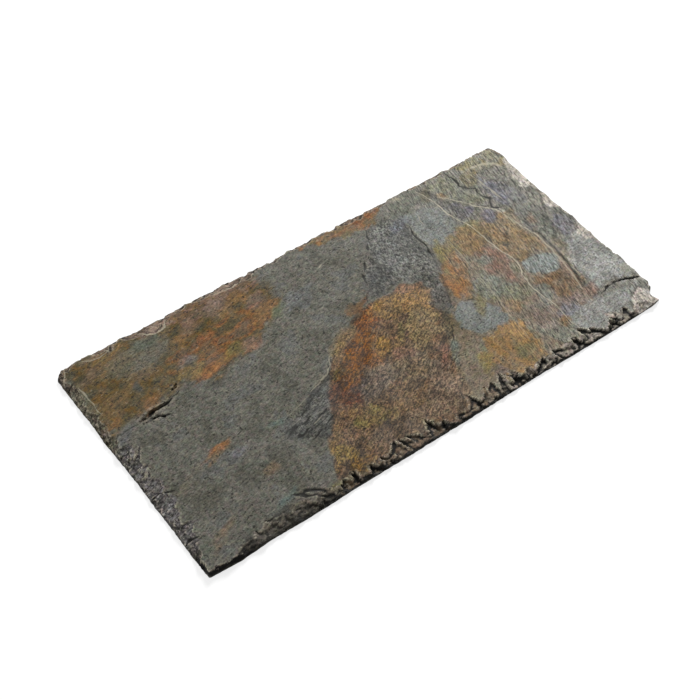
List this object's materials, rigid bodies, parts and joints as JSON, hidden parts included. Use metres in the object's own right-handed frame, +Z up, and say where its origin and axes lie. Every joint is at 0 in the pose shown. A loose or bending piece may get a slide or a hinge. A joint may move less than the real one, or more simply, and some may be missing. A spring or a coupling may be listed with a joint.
{
  "type": "slate roof tile",
  "caption": "Rectangular roofing slate with a riven, rust-stained face in low cleavage terraces, spalled hand-dressed edges and a broken corner; it lies flat and sheds rain when lapped.",
  "frame": {"origin": "middle of the bed face, on the surface that the tile lies on", "axes": "+X along the length from the tail end to the head end, +Y across the width from the front edge to the back edge, +Z up out of the riven face"},
  "size_m": [0.5, 0.25, 0.007],
  "materials": {
    "riven_slate": "matt riven stone with rust and ochre staining"
  },
  "bodies": {
    "root": {"slate_tile": "riven_slate"}
  },
  "joints": []
}
